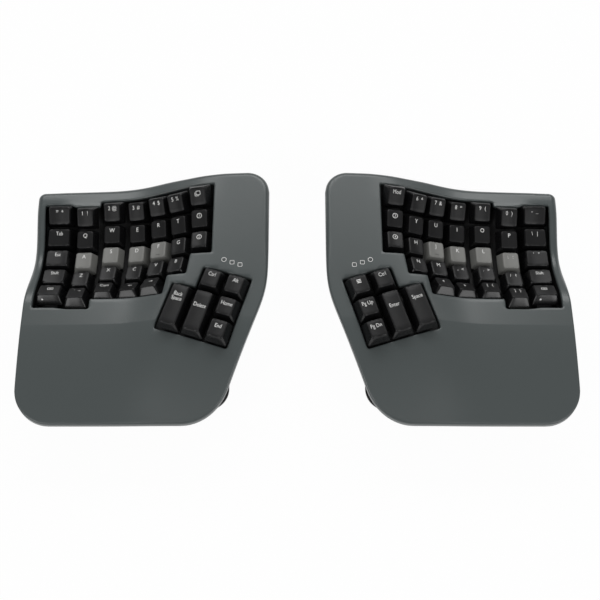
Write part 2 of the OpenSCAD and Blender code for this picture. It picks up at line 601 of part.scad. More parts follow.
on_right() base_feet();  // right_base_feet
on_right() tent_leg();  // right_tent_leg
on_right() finger_keys(0, 0, 2);  // right_keys_number_outer
on_right() finger_keys(0, 3, 4);  // right_keys_number_middle
on_right() finger_keys(0, 5, 6);  // right_keys_number_inner
on_right() finger_keys(1, 0, 2);  // right_keys_upper_outer
on_right() finger_keys(1, 3, 4);  // right_keys_upper_middle
on_right() finger_keys(1, 5, 6);  // right_keys_upper_inner
on_right() finger_keys(2, 0, 2);  // right_keys_home_outer
on_right() finger_keys(2, 3, 4);  // right_keys_home_middle
on_right() finger_keys(2, 5, 6);  // right_keys_home_inner
on_right() finger_keys(3, 0, 2);  // right_keys_lower_outer
on_right() finger_keys(3, 3, 5);  // right_keys_lower_inner
on_right() finger_keys(4, 0, 4);  // right_keys_bottom
on_right() thumb_key(-1, 0, 2);  // right_thumb_space
on_right() thumb_key(0, 0, 2);  // right_thumb_enter
on_right() thumb_key(1, 0.5);  // right_thumb_page_up
on_right() thumb_key(1, -0.5);  // right_thumb_page_down
on_right() thumb_key(0, 1.5);  // right_thumb_ctrl
on_right() thumb_key(1, 1.5);  // right_thumb_menu
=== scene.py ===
"""Looks of a split ergonomic keyboard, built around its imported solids.

X runs to the right, Y to the rear and Z up. Shapes are worked out in millimetres and made in metres.
The left half is worked out, and the right half is its mirror image.
"""

import math

import bmesh
import bpy
import numpy as np
from mathutils import Matrix, Vector


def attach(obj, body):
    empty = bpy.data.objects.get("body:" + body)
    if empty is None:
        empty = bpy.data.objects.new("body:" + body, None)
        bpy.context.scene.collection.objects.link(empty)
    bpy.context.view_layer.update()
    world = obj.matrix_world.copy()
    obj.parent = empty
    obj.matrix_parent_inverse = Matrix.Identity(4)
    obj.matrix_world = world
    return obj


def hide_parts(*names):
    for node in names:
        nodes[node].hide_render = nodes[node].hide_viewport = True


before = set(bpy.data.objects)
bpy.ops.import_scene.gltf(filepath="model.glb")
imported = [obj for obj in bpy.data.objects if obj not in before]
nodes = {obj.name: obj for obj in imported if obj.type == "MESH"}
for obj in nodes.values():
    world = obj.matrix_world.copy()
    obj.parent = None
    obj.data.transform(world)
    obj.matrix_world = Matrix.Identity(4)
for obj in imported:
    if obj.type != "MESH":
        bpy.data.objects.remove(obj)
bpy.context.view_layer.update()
scene = bpy.context.scene
MM = 0.001

# Sizes of the keys, as in the solids.
PITCH = 19.05
CAP_W = 18.0
CAP_TOP_W = 11.8
CAP_TOP_D = 13.3
CAP_H = 9.0
CAP_WALL = 1.3
CAP_DISH = 0.7
CAP_EXTRA = 0.25 * PITCH
CAP_ROOF = -2.4
STEM_R = 2.6
STEM_LOW = -11.0

# Places of the finger columns and of the thumb cluster, as in the solids.
COLUMN_X = [-62, -39.2, -19.1, 0.6, 20.1, 38.05, 56.4]
COLUMN_Y = [-1.5, -6, 0.2, 2.1, 1.7, 0.9, 2.6]
COLUMN_Z = [6.9, 7.3, 1.6, -3.7, 0.8, 5.4, 10]
COLUMN_ROLL = [9, 5.7, 5.1, -1.1, -6.1, -12.5, -3]
COLUMN_KEYS = [5, 5, 5, 5, 5, 4, 3]
BOTTOM_TILT = [-1, 0, 2, 10, 5, 0, 0]
ROW_ANGLE, ROW_RADIUS, ROW_START = 15, 68.4, 0.8
WELL = (-130.8, 42.4, 36.8)
WELL_TENT, WELL_PITCH, WELL_YAW = 11, -1.5, -0.8
THUMB = (-74.5, -23.7, 69.6)
THUMB_TURN, THUMB_TILT = 18, 3

# Sizes of the case, as in the solids apart from the outer front corner, the crisp edge, the strip,
# the rear rim and the edges of the openings, which are set for the looks.
OUTER_X, INNER_X = -212.072, -22.5
HALF_D = 103.0
SLANT, SLANT_Y = math.radians(20.9), -2.2
FRONT_OUTER_R, FRONT_INNER_R, REAR_INNER_R, REAR_OUTER_R = 27, 38, 18, 6
CREASE_Y, STRIP_Y, REAR_RIM_Y = -26, -4, 87
WALL, EDGE_R, TAPER = 2.5, 5, 0.42
CRISP_R, SOFT_FROM, SOFT_TO = 1.3, -10, 40
DECK_H, FRONT_H, PALM_H, REAR_H, REAR_SWEEP = 62, 38, 48, 40.5, 5
SEAM_FRONT, SEAM_REAR = FRONT_H - 9, 9
REAR_MARGIN = [-2.3, 0.4, -2.4, 2.0]
FRONT_MARGIN = [5.4, 2.0, -1.1, -1.1, -1.1, 0.6, 4.6]
RIM_OUTER = 8
THUMB_PLAN = [(-30, 21), (-30, -19.2), (28.9, -19.2), (28.9, 39.6), (-10.7, 39.6), (-10.7, 21)]
LENS_AT = [(-56.5, 22.7), (-50.2, 20.1), (-44, 17.9)]
SOCKET = (-51, 95, 40.5)
RIM_TILT, RIM_TILT_Y, RIM_TILT_D = 2.2, 79, 20
RIM_TILT_INNER, RIM_TILT_INNER_D = -58, 30
RIM_TILT_OUTER, RIM_TILT_OUTER_D, RIM_TILT_OUTER_CUT = -150, 40, 0.5
DECK_SLOPE, PALM_SLOPE, PALM_FALL = 0.4, 0.02, 1.7
STRIP_DROP, STRIP_DROP_MORE, STRIP_RUN, STRIP_SHIFT = 0.5, 1.4, 80, 3
RIM_DIP, RIM_DIP_REACH, RIM_DIP_W, RIM_DIP_FADE = 15, 50, 28, 8
SWEEP_FROM, SWEEP_RUN = WELL[0] + 25, 100
SOFT_RUN, BLEND = 8, 3
LENS_R, LENS_HOLE_R = 1.3, 1.4
# Rounded lip of an opening: steps outwards, and up from the case's surface.
LIP = [(0, -9), (0, -1.2), (0.16, -0.6), (0.6, -0.16), (0.79, -0.07), (1.4, 0.15), (1.4, 14)]


def turn(axis, degrees):
    return np.array(Matrix.Rotation(math.radians(degrees), 4, axis))


def move(x, y, z):
    return np.array(Matrix.Translation((x, y, z)))


MIRROR = np.diag([-1.0, 1, 1, 1])
WELL_FRAME = move(*WELL) @ turn("Z", WELL_YAW) @ turn("X", WELL_PITCH) @ turn("Y", -WELL_TENT)


def key_frame(c, r):
    """Frame of a finger key: its origin is the middle of the cap's top."""
    a = (r - 2) * ROW_ANGLE + ROW_START
    rise = ROW_RADIUS * (1 - math.cos(math.radians(a)))
    column = move(COLUMN_X[c], COLUMN_Y[c], COLUMN_Z[c]) @ turn("Y", COLUMN_ROLL[c])
    tilt = a + (BOTTOM_TILT[c] if r == 4 else 0)
    return WELL_FRAME @ column @ move(0, -ROW_RADIUS * math.sin(math.radians(a)), rise) @ turn("X", -tilt)


def thumb_frame(u, v):
    return move(*THUMB) @ turn("Y", -THUMB_TILT) @ turn("Z", -THUMB_TURN) @ move(u * PITCH, v * PITCH, 0)


def for_side(side, m):
    return m if side == "left" else MIRROR @ m @ MIRROR


# Top surface and outline of the case.
def softened(t):
    """A ramp that starts gently instead of with a kink."""
    return SOFT_RUN * np.log1p(np.exp(t / SOFT_RUN))


def lower_of(a, b):
    """The lower of two heights, blended where they cross."""
    return -BLEND * np.log(np.exp(-a / BLEND) + np.exp(-b / BLEND))


def top_z(x, y):
    x, y = np.asarray(x, float), np.asarray(y, float)
    deck = DECK_H + math.tan(math.radians(THUMB_TILT)) * (x - THUMB[0])
    rear = lower_of(deck, REAR_H + DECK_SLOPE * softened(x - WELL[0]))
    drop = STRIP_DROP + STRIP_DROP_MORE * np.clip((x - OUTER_X) / STRIP_RUN, 0, 1)
    outer = PALM_H + PALM_SLOPE * (x - OUTER_X)
    strip = lower_of(deck, outer - drop + DECK_SLOPE * softened(x - WELL[0] - STRIP_SHIFT))
    palm = lower_of(deck, outer + DECK_SLOPE * softened(x - WELL[0]))
    t = np.clip((CREASE_Y - y) / (HALF_D + 5 + CREASE_Y), 0, None)
    front = palm - (palm - FRONT_H) * t**PALM_FALL
    a = np.clip((y - CREASE_Y) / (STRIP_Y - CREASE_Y), 0, 1)
    b = np.clip((y - STRIP_Y) / (REAR_RIM_Y - STRIP_Y), 0, 1)
    behind = palm + (strip - palm) * a + (rear - strip) * b
    along = np.clip(np.abs(y - WELL[1]) / RIM_DIP_REACH, 0, 1)
    dip = RIM_DIP * np.cos(np.pi / 2 * along) ** 2 * np.clip((OUTER_X + RIM_DIP_W - x) / RIM_DIP_FADE, 0, 1)
    tilt = RIM_TILT * np.clip((y - RIM_TILT_Y) / RIM_TILT_D, 0, 1)
    tilt = tilt * np.clip((RIM_TILT_INNER - x) / RIM_TILT_INNER_D, 0, 1)
    tilt = tilt * (1 - RIM_TILT_OUTER_CUT * np.clip((RIM_TILT_OUTER - x) / RIM_TILT_OUTER_D, 0, 1))
    return np.where(y < CREASE_Y, front, behind - dip - tilt)


def slant_x(y, d):
    return INNER_X + (y - SLANT_Y) * math.tan(SLANT) - d / math.cos(SLANT)


def arc_x(y, cy, r):
    return np.sqrt(np.maximum(0, r * r - (y - cy) ** 2))


def left_x(y, d):
    rf, rr = np.maximum(FRONT_OUTER_R - d, 2), np.maximum(REAR_OUTER_R - d, 2)
    yf, yr = -HALF_D + d + rf, HALF_D - d - rr
    x = OUTER_X + d
    return np.where(y < yf, x + rf - arc_x(y, yf, rf), np.where(y > yr, x + rr - arc_x(y, yr, rr), x))


def right_x(y, d):
    rf, rr = np.maximum(FRONT_INNER_R - d, 2), np.maximum(REAR_INNER_R - d, 2)
    yf, yr = -HALF_D + d + rf, HALF_D - d - rr
    xf = slant_x(yf, d) - rf / math.cos(SLANT)
    side = lower_of(slant_x(y, d), INNER_X - d + 0.3)
    rear = INNER_X - d - rr + arc_x(y, yr, rr)
    return np.where(y < yf - rf * math.sin(SLANT), xf + arc_x(y, yf, rf), np.where(y > yr, rear, side))


def in_corner(p, c, u, v, r):
    q = p - np.array(c)
    inside = (q @ np.array(u) > 0) & (q @ np.array(v) > 0)
    return np.where(inside, r - np.hypot(q[..., 0], q[..., 1]), 1000)


def edge_gap(p):
    x, y = p[..., 0], p[..., 1]
    yf = -HALF_D + FRONT_INNER_R
    xf = slant_x(yf, 0) - FRONT_INNER_R / math.cos(SLANT)
    across = (-math.sin(SLANT), -math.cos(SLANT))
    return np.minimum.reduce([
        x - OUTER_X,
        right_x(np.clip(y, yf, HALF_D - REAR_INNER_R), 0) - x,
        y + HALF_D,
        HALF_D - y,
        (slant_x(y, 0) - x) * math.cos(SLANT),
        in_corner(p, (OUTER_X + FRONT_OUTER_R, -HALF_D + FRONT_OUTER_R), (-1, 0), (0, -1), FRONT_OUTER_R),
        in_corner(p, (OUTER_X + REAR_OUTER_R, HALF_D - REAR_OUTER_R), (-1, 0), (0, 1), REAR_OUTER_R),
        in_corner(p, (INNER_X - REAR_INNER_R, HALF_D - REAR_INNER_R), (1, 0), (0, 1), REAR_INNER_R),
        in_corner(p, (xf, yf), (1, 0), across, FRONT_INNER_R),
    ])


def flat_xy(rf, cf, d):
    y = rf * (HALF_D - d)
    xl, xr = left_x(y, d), right_x(y, d)
    return np.stack([xl + (xr - xl) * cf, y], -1)


def skin_xy(rf, cf, d):
    p = flat_xy(rf, cf, d)
    sweep = REAR_SWEEP * np.clip((SWEEP_FROM - p[..., 0]) / SWEEP_RUN, 0, 1)
    sweep = sweep * np.maximum(0, p[..., 1]) / HALF_D
    return p - np.stack([np.zeros_like(sweep), sweep], -1)


def edge_radius(y):
    """Rounding of the top edge: crisp in front and softer towards the rear."""
    return CRISP_R + (EDGE_R - CRISP_R) * np.clip((y - SOFT_FROM) / (SOFT_TO - SOFT_FROM), 0, 1)


def skin(rf, cf, d):
    p = skin_xy(rf, cf, d)
    gap = np.maximum(edge_gap(flat_xy(rf, cf, d)) - d, 0)
    r = np.maximum(edge_radius(p[..., 1]) - d, 1.2)
    roll = np.where(gap >= r, 0, r - np.sqrt(np.maximum(0, r * r - (r - gap) ** 2)))
    return np.concatenate([p, (top_z(p[..., 0], p[..., 1]) - d - roll)[..., None]], -1)


def seam_z(y):
    return SEAM_FRONT + (SEAM_REAR - SEAM_FRONT) * (y + HALF_D) / (2 * HALF_D)


# Meshes.
def mesh_object(name, verts, faces, materials, indices=None):
    """A mesh object in metres from vertices in millimetres."""
    mesh = bpy.data.meshes.new(name)
    mesh.from_pydata([tuple(np.asarray(v, float) * MM) for v in verts], [], faces)
    for m in materials:
        mesh.materials.append(m)
    if indices is not None:
        mesh.polygons.foreach_set("material_index", indices)
    obj = bpy.data.objects.new(name, mesh)
    scene.collection.objects.link(obj)
    return obj


def outward(obj):
    bm = bmesh.new()
    bm.from_mesh(obj.data)
    bmesh.ops.recalc_face_normals(bm, faces=bm.faces)
    bm.to_mesh(obj.data)
    bm.free()


def smooth(obj, degrees):
    obj.data.shade_smooth()
    obj.data.set_sharp_from_angle(angle=math.radians(degrees))


def apply_modifiers(obj):
    done = bpy.data.meshes.new_from_object(obj.evaluated_get(bpy.context.evaluated_depsgraph_get()))
    obj.modifiers.clear()
    old = obj.data
    obj.data = done
    bpy.data.meshes.remove(old)


def cut(obj, cutter):
    m = obj.modifiers.new("cut", "BOOLEAN")
    m.operation = "DIFFERENCE"
    m.solver = "EXACT"
    m.object = cutter
    apply_modifiers(obj)
    mesh = cutter.data
    bpy.data.objects.remove(cutter)
    bpy.data.meshes.remove(mesh)


def lofted(rings):
    """Vertices and faces of a closed solid through rings of equal length."""
    n = len(rings[0])
    verts = [v for ring in rings for v in ring]
    faces = [list(range(n))[::-1]]
    for k in range(len(rings) - 1):
        for i in range(n):
            j = (i + 1) % n
            faces.append([k * n + i, k * n + j, (k + 1) * n + j, (k + 1) * n + i])
    faces.append([(len(rings) - 1) * n + i for i in range(n)])
    return verts, faces


def rounded(points, radius, steps=5):
    """A polygon with its corners rounded, as points in order."""
    out = []
    n = len(points)
    for i in range(n):
        p = np.array(points[i], float)
        a, b = np.array(points[i - 1], float) - p, np.array(points[(i + 1) % n], float) - p
        la, lb = np.linalg.norm(a), np.linalg.norm(b)
        a, b = a / la, b / lb
        half = math.acos(np.clip(a @ b, -1, 1)) / 2
        reach = min(radius / math.tan(half), la * 0.45, lb * 0.45)
        r = reach * math.tan(half)
        middle = p + (a + b) / np.linalg.norm(a + b) * math.hypot(reach, r)
        s, e = p + a * reach - middle, p + b * reach - middle
        sweep = math.atan2(s[0] * e[1] - s[1] * e[0], s @ e)
        for k in range(steps + 1):
            t = sweep * k / steps
            c, w = math.cos(t), math.sin(t)
            out.append(middle + (s[0] * c - s[1] * w, s[0] * w + s[1] * c))
    return np.array(out)


def spread(points, step):
    """The polygon with its long edges divided."""
    out = []
    for p, q in zip(points, np.roll(points, -1, 0)):
        k = max(1, int(np.linalg.norm(q - p) / step))
        out += [p + (q - p) * i / k for i in range(k)]
    return np.array(out)


def grown(points, d):
    """The polygon moved outwards by d."""
    e = np.roll(points, -1, 0) - points
    e = e / np.linalg.norm(e, axis=1)[:, None]
    n = np.stack([e[:, 1], -e[:, 0]], 1)
    x, y = points[:, 0], points[:, 1]
    if np.sum(x * np.roll(y, -1) - np.roll(x, -1) * y) < 0:
        n = -n
    m = n + np.roll(n, 1, 0)
    return points + d * m / np.linalg.norm(m, axis=1)[:, None]


# Materials.
def linear(v):
    return v / 255 / 12.92 if v <= 10 else ((v / 255 + 0.055) / 1.055) ** 2.4


def srgb(r, g, b):
    return linear(r), linear(g), linear(b), 1.0


def material(name, colour, rough, grain=0.0, grain_size=0.0004, vary=0.06, metal=0.0, shine=0.5):
    """A moulded surface: slight changes of tone, uneven gloss and a fine grain."""
    m = bpy.data.materials.new(name)
    m.use_nodes = True
    tree = m.node_tree
    shader = tree.nodes["Principled BSDF"]
    shader.inputs["Metallic"].default_value = metal
    shader.inputs["Specular IOR Level"].default_value = shine
    place = tree.nodes.new("ShaderNodeTexCoord")
    broad = tree.nodes.new("ShaderNodeTexNoise")
    broad.inputs["Scale"].default_value = 18
    broad.inputs["Detail"].default_value = 3
    tree.links.new(place.outputs["Object"], broad.inputs["Vector"])
    tone = tree.nodes.new("ShaderNodeMix")
    tone.data_type = "RGBA"
    tone.inputs["A"].default_value = tuple(c * (1 - vary) for c in colour[:3]) + (1,)
    tone.inputs["B"].default_value = tuple(min(1, c * (1 + vary)) for c in colour[:3]) + (1,)
    tree.links.new(broad.outputs["Fac"], tone.inputs["Factor"])
    tree.links.new(tone.outputs["Result"], shader.inputs["Base Color"])
    fine = tree.nodes.new("ShaderNodeTexNoise")
    fine.inputs["Scale"].default_value = 1 / grain_size
    fine.inputs["Detail"].default_value = 2
    tree.links.new(place.outputs["Object"], fine.inputs["Vector"])
    gloss = tree.nodes.new("ShaderNodeMapRange")
    gloss.inputs["To Min"].default_value = rough - 0.05
    gloss.inputs["To Max"].default_value = rough + 0.05
    tree.links.new(fine.outputs["Fac"], gloss.inputs["Value"])
    tree.links.new(gloss.outputs["Result"], shader.inputs["Roughness"])
    if grain:
        bump = tree.nodes.new("ShaderNodeBump")
        bump.inputs["Strength"].default_value = grain
        bump.inputs["Distance"].default_value = grain_size * 0.2
        tree.links.new(fine.outputs["Fac"], bump.inputs["Height"])
        tree.links.new(bump.outputs["Normal"], shader.inputs["Normal"])
    return m


SHELL = material("shell_plastic", srgb(77, 83, 83), 0.32, 0.15, 0.0005, 0.03)
CAP_DARK = material("cap_dark", srgb(18, 18, 19), 0.43, 0.35, 0.0003, 0.08, 0.0, 0.38)
# Sides of the dark caps: the same plastic with a smoother gloss, its colour set darker than the tops' as
# painted shade.
CAP_DARK_SIDE_PAINTED_SHADE = material("cap_dark_side_painted_shade", srgb(14, 14, 15), 0.26, 0.06, 0.0004, 0.08)
CAP_LIGHT = material("cap_light", srgb(122, 122, 119), 0.52, 0.35, 0.0003, 0.04)
# Sides of the light caps: the same plastic with a smoother gloss, its colour set darker than the tops' as
# painted shade.
CAP_LIGHT_SIDE_PAINTED_SHADE = material("cap_light_side_painted_shade", srgb(112, 112, 109), 0.32, 0.06, 0.0004, 0.04)
PRINT = material("print_white", srgb(244, 244, 242), 0.6, 0.0, 0.0004, 0.01)
BLACK = material("black_plastic", srgb(10, 10, 11), 0.65, 0.3, 0.0006, 0.1)
SWITCH = material("switch_plastic", srgb(24, 25, 27), 0.4, 0.1, 0.0006, 0.1)
BOARD = material("circuit_board", srgb(32, 92, 58), 0.4, 0.2, 0.001, 0.15)
FOIL = material("battery_foil", srgb(170, 176, 180), 0.35, 0.3, 0.003, 0.05, 0.8)
LENS = material("lens_clear", srgb(82, 86, 86), 0.2, 0.0, 0.0005, 0.03)
STEEL = material("zinc_steel", srgb(160, 162, 164), 0.35, 0.15, 0.0005, 0.06, 0.9)
RUBBER = material("foot_rubber", srgb(16, 16, 16), 0.75, 0.5, 0.0008, 0.1)
LEG = material("leg_plastic", srgb(44, 46, 48), 0.45, 0.3, 0.0005, 0.08)


# Key caps with their printed legends.
def ring_of(hx, hy, rc, z):
    """A rounded rectangle at one height."""
    pts = []
    for sx, sy, start in ((1, 1, 0), (-1, 1, 90), (-1, -1, 180), (1, -1, 270)):
        for k in range(6):
            a = math.radians(start + 18 * k)
            pts.append((sx * (hx - rc) + rc * math.cos(a), sy * (hy - rc) + rc * math.sin(a)))
        nx, ny = pts[-1]
        ex, ey = {
            0: (-(hx - rc), hy), 90: (-hx, -(hy - rc)), 180: (hx - rc, -hy), 270: (hx, hy - rc)
        }[start]
        for k in (1, 2, 3):
            pts.append((nx + (ex - nx) * k / 4, ny + (ey - ny) * k / 4))
    return [(x, y, z) for x, y in pts]


def hollow(x, extra_w):
    r = (CAP_TOP_W**2 / 4 + CAP_DISH**2) / (2 * CAP_DISH) + extra_w
    return r - CAP_DISH - math.sqrt(max(r * r - x * x, 0))


def cap_shape(extra_w, extra_d):
    """A cap from its hollow inside over its skirt to its dished top, and its stem."""
    w, d = (CAP_W + extra_w) / 2, (CAP_W + extra_d) / 2
    tw, td = (CAP_TOP_W + extra_w) / 2, (CAP_TOP_D + extra_d) / 2
    rings = [
        ring_of(tw - 1.9, td - 1.9, 0.8, CAP_ROOF),
        ring_of(w - CAP_WALL, d - CAP_WALL, 0.8, -CAP_H + 0.2),
        ring_of(w - 0.25, d - 0.25, 1.2, -CAP_H),
        ring_of(w, d, 1.4, -CAP_H + 0.3),
        ring_of(tw + 0.75, td + 0.75, 2.0, -1.25),
        ring_of(tw + 0.5, td + 0.5, 2.0, -0.75),
        ring_of(tw + 0.15, td + 0.15, 1.9, -0.32),
    ]
    for k, drop in ((-0.3, 0.1), (-0.7, 0.0)):
        rings.append([(x, y, hollow(x, extra_w) - drop) for x, y, _ in ring_of(tw + k, td + k, 1.6, 0)])
    for s in (0.75, 0.5, 0.25):
        flat = ring_of((tw - 0.7) * s, (td - 0.7) * s, 1.4 * s, 0)
        rings.append([(x, y, hollow(x, extra_w)) for x, y, _ in flat])
    n = len(rings[0])
    verts = [p for ring in rings for p in ring]
    faces, tops = [], []
    for k in range(len(rings) - 1):
        for i in range(n):
            j = (i + 1) % n
            faces.append([k * n + i, k * n + j, (k + 1) * n + j, (k + 1) * n + i])
            tops.append(k >= 5)
    top = len(verts)
    verts.append((0, 0, hollow(0, extra_w)))
    roof = len(verts)
    verts.append((0, 0, CAP_ROOF))
    last = (len(rings) - 1) * n
    for i in range(n):
        j = (i + 1) % n
        faces.append([last + i, last + j, top])
        faces.append([j, i, roof])
        tops += [True, False]
    at = len(verts)
    m = 20
    for z in (STEM_LOW, CAP_ROOF - 0.2):
        for i in range(m):
            a = 2 * math.pi * i / m
            verts.append((STEM_R * math.cos(a), STEM_R * math.sin(a), z))
    faces.append([at + i for i in range(m)][::-1])
    faces.append([at + m + i for i in range(m)])
    for i in range(m):
        j = (i + 1) % m
        faces.append([at + i, at + j, at + m + j, at + m + i])
    return verts, faces, tops + [False] * (len(faces) - len(tops))


PRINT_T = 0.03
NARROW, WORD_NARROW = 0.88, 0.8
LETTER_SIZE, WORD_SIZE = 4.9, 4.6
glyphs = {}


def glyph(text, size, narrow=NARROW):
    """Raised outline letters from the program's own font, as flat solids."""
    if (text, size, narrow) in glyphs:
        return glyphs[text, size, narrow]
    curve = bpy.data.curves.new("glyph", "FONT")
    curve.body = text
    curve.size = size
    curve.align_x = "CENTER"
    curve.align_y = "CENTER"
    curve.space_line = 0.85
    curve.resolution_u = 3
    curve.extrude = PRINT_T
    curve.offset = -0.03
    obj = bpy.data.objects.new("glyph", curve)
    scene.collection.objects.link(obj)
    bpy.context.view_layer.update()
    mesh = bpy.data.meshes.new_from_object(obj.evaluated_get(bpy.context.evaluated_depsgraph_get()))
    verts = [(v.co.x * narrow, v.co.y, v.co.z) for v in mesh.vertices]
    faces = [list(p.vertices) for p in mesh.polygons]
    bpy.data.objects.remove(obj)
    bpy.data.curves.remove(curve)
    bpy.data.meshes.remove(mesh)
    glyphs[text, size, narrow] = verts, faces
    return verts, faces


def plate(outline, hole=None):
    """A flat solid from an outline, or from an outline and a hole with as many points."""
    n = len(outline)
    if hole is None:
        rings = [[(x, y, z) for x, y in outline] for z in (-PRINT_T, PRINT_T)]
        return lofted(rings)
    verts = [(x, y, z) for ring in (outline, hole) for z in (-PRINT_T, PRINT_T) for x, y in ring]
    faces = []
    for i in range(n):
        j = (i + 1) % n
        for a, b in ((0, n), (n, 3 * n), (3 * n, 2 * n), (2 * n, 0)):
            faces.append([a + i, a + j, b + j, b + i])
    return verts, faces


def circle(r, n=28, x=0.0, y=0.0):
    turns = [2 * math.pi * i / n for i in range(n)]
    return [(x + r * math.cos(a), y + r * math.sin(a)) for a in turns]


def block(w, h, r=0.3):
    corners = [(w / 2, -h / 2), (w / 2, h / 2), (-w / 2, h / 2), (-w / 2, -h / 2)]
    return [tuple(p) for p in rounded(corners, r, 3)]


def arrow(degrees):
    shape = [(-1.7, -0.22), (0.3, -0.22), (0.3, -0.85), (1.7, 0), (0.3, 0.85), (0.3, 0.22), (-1.7, 0.22)]
    c, s = math.cos(math.radians(degrees)), math.sin(math.radians(degrees))
    return plate([(x * c - y * s, x * s + y * c) for x, y in shape])


def legend(text):
    """Marks of one key: a list of (vertices, faces, x, y) from the middle of the cap's top."""
    if text.startswith("ring"):
        return [(*plate(circle(2.1), circle(1.7)), 0, 2.4), (*glyph(text[4:], 3.2), 0, 2.4)]
    if text == "layer":
        sheet = plate(block(3.8, 3.2, 0.6), block(3.1, 2.5, 0.4))
        low, side = plate(block(3.2, 0.4, 0.15)), plate(block(0.4, 2.8, 0.15))
        return [(*sheet, 0.5, 2.6), (*low, -0.5, 0.3), (*side, -2.1, 1.7)]
    if text == "mode":
        field = plate(block(4.6, 2.8, 0.6), block(3.9, 2.1, 0.4))
        return [(*field, 0, 2.4), (*plate(block(2.4, 0.45, 0.2)), 0, 2.4)]
    if text == "menu":
        return [(*plate(block(3.4, 0.6, 0.25)), 0, y) for y in (1.5, 2.7, 3.9)]
    if text in ARROWS:
        return [(*arrow(ARROWS[text]), 0, 2.6)]
    if "\n" in text or text in ("Pg Up", "Pg Dn") or len(text) > 2 and " " not in text:
        return [(*glyph(text, WORD_SIZE, WORD_NARROW), 0, 3.3)]
    if " " in text:
        a, b = text.split(" ")
        return [(*glyph(a, WORD_SIZE), -2.1, 3.4), (*glyph(b, WORD_SIZE), 2.1, 3.4)]
    return [(*glyph(text, LETTER_SIZE), 0, 3.4)]


ARROWS = {"right": 0, "up": 90, "left": 180, "down": 270}
LEFT_KEYS = [
    ["= +", "1 !", "2 @", "3 #", "4 $", "5 %", "layer"],
    ["Tab", "Q", "W", "E", "R", "T", "ring1"],
    ["Esc", "A", "S", "D", "F", "G", "ring2"],
    ["Shift", "Z", "X", "C", "V", "B"],
    ["mode", "` ~", "Caps", "left", "right"],
]
RIGHT_KEYS = [
    ["- _", "0 )", "9 (", "8 *", "7 &", "6 ^", "Mod"],
    ["\\ |", "P", "O", "I", "U", "Y", "ring3"],
    ["' \"", "; :", "L", "K", "J", "H", "ring4"],
    ["Shift", "/ ?", ". >", ", <", "M", "N"],
    ["mode", "] }", "[ {", "down", "up"],
]
BANKS = {
    "number_outer": (0, 0, 2), "number_middle": (0, 3, 4), "number_inner": (0, 5, 6),
    "upper_outer": (1, 0, 2), "upper_middle": (1, 3, 4), "upper_inner": (1, 5, 6),
    "home_outer": (2, 0, 2), "home_middle": (2, 3, 4), "home_inner": (2, 5, 6),
    "lower_outer": (3, 0, 2), "lower_inner": (3, 3, 5), "bottom": (4, 0, 4),
}
# Place in the cluster, length in units, legend, and how far forward the legend is moved.
THUMBS = {
    "left": {
        "backspace": (-1, 0, 2, "Back\nSpace", 1.0), "delete": (0, 0, 2, "Delete", 3.5),
        "home": (1, 0.5, 1, "Home", 1.2),
        "end": (1, -0.5, 1, "End", 1.2), "ctrl": (0, 1.5, 1, "Ctrl", 0), "alt": (1, 1.5, 1, "Alt", 0),
    },
    "right": {
        "space": (-1, 0, 2, "Space", 1.2), "enter": (0, 0, 2, "Enter", 3.0),
        "page_up": (1, 0.5, 1, "Pg Up", 0.8),
        "page_down": (1, -0.5, 1, "Pg Dn", 1.2),
        "ctrl": (0, 1.5, 1, "Ctrl", 0), "menu": (1, 1.5, 1, "menu", 0),
    },
}


class Caps:
    """Collects the caps of one node into one mesh."""

    def __init__(self):
        self.verts, self.faces, self.slots = [], [], []

    def add(self, m, verts, faces, slot):
        at = len(self.verts)
        self.verts += [(m @ np.array([*v, 1.0]))[:3] for v in verts]
        self.faces += [[at + i for i in f] for f in faces]
        self.slots += slot if isinstance(slot, list) else [slot] * len(faces)

    def key(self, m, text, extra_w=0.0, extra_d=0.0, light=False, drop=0.0):
        verts, faces, tops = cap_shape(extra_w, extra_d)
        # Faces off the top take the side materials, whose darker colour is painted shade on the cap sides.
        self.add(m, verts, faces, [(1 if light else 0) if t else (4 if light else 3) for t in tops])
        shift = extra_d / 4 - drop
        for verts, faces, x, y in legend(text):
            placed = [(vx + x, vy + y + shift, hollow(vx + x, extra_w) + 0.02 + vz) for vx, vy, vz in verts]
            self.add(m, placed, faces, 2)
        if text == "mode":
            lean = move(-4.6, -8.0, -4.0) @ turn("X", 78)
            dot, faces = plate(circle(0.75))
            self.add(m @ lean, [(x, y, z + 0.05) for x, y, z in dot], faces, 2)
        if text in ("F", "J"):
            bar, faces = lofted([ring_of(1.9, 0.32, 0.3, -0.1), ring_of(1.8, 0.22, 0.2, 0.4)])
            self.add(m, [(x, y - 4.0, hollow(x, 0) + z) for x, y, z in bar], faces, 1)

    def finish(self, name, node):
        plastics = [CAP_DARK, CAP_LIGHT, PRINT, CAP_DARK_SIDE_PAINTED_SHADE, CAP_LIGHT_SIDE_PAINTED_SHADE]
        obj = mesh_object(name, self.verts, self.faces, plastics, self.slots)
        outward(obj)
        smooth(obj, 40)
        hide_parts(node)
        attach(obj, node)


for side, texts in (("left", LEFT_KEYS), ("right", RIGHT_KEYS)):
    for bank, (r, first, last) in BANKS.items():
        caps = Caps()
        for c in range(first, last + 1):
            m = for_side(side, key_frame(c, r))
            caps.key(m, texts[r][c], CAP_EXTRA if c == 0 else 0, 0, r == 2 and 1 <= c <= 4)
        caps.finish(f"{side}_{bank}_caps", f"{side}_keys_{bank}")
    for name, (u, v, units, text, drop) in THUMBS[side].items():
        caps = Caps()
        caps.key(for_side(side, thumb_frame(u, v)), text, 0, (units - 1) * PITCH, False, drop)
        caps.finish(f"{side}_{name}_cap", f"{side}_thumb_{name}")

